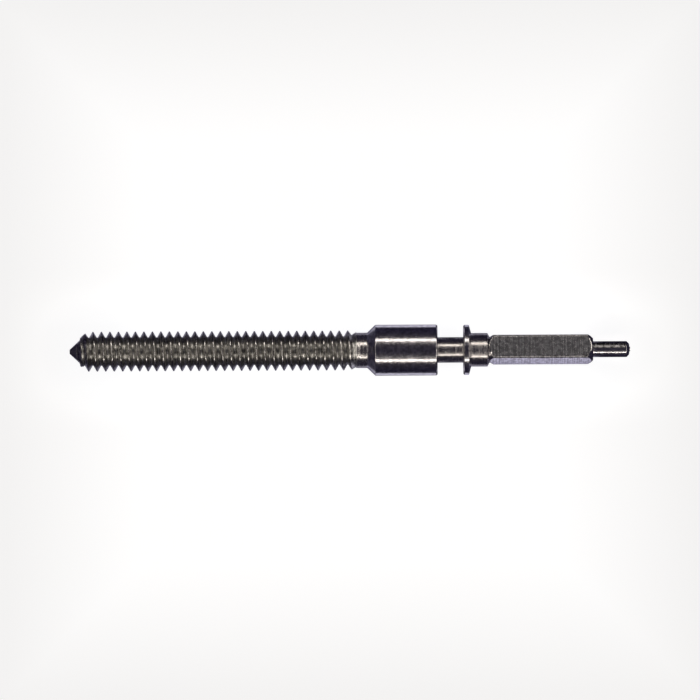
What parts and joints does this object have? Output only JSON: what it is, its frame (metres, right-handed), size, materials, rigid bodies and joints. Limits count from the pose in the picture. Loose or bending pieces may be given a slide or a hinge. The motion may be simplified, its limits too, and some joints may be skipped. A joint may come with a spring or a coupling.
{
  "type": "watch winding stem",
  "caption": "Slim turned steel winding stem: pointed crown thread, bearing barrel, setting lever groove, collar, pinion seat, milled square and thin pilot.",
  "frame": {"origin": "on the stem's axis, at the middle of the bearing barrel that turns in the main plate", "axes": "+X along the stem from the crown thread to the pilot, +Z toward the viewer of the picture, +Y up in the picture"},
  "size_m": [0.0165, 0.0014, 0.0016],
  "materials": {
    "hardened_steel": "polished bearings, rolled thread, fine turned and milled marks elsewhere"
  },
  "bodies": {
    "root": {"winding_stem": "hardened_steel"}
  },
  "joints": []
}
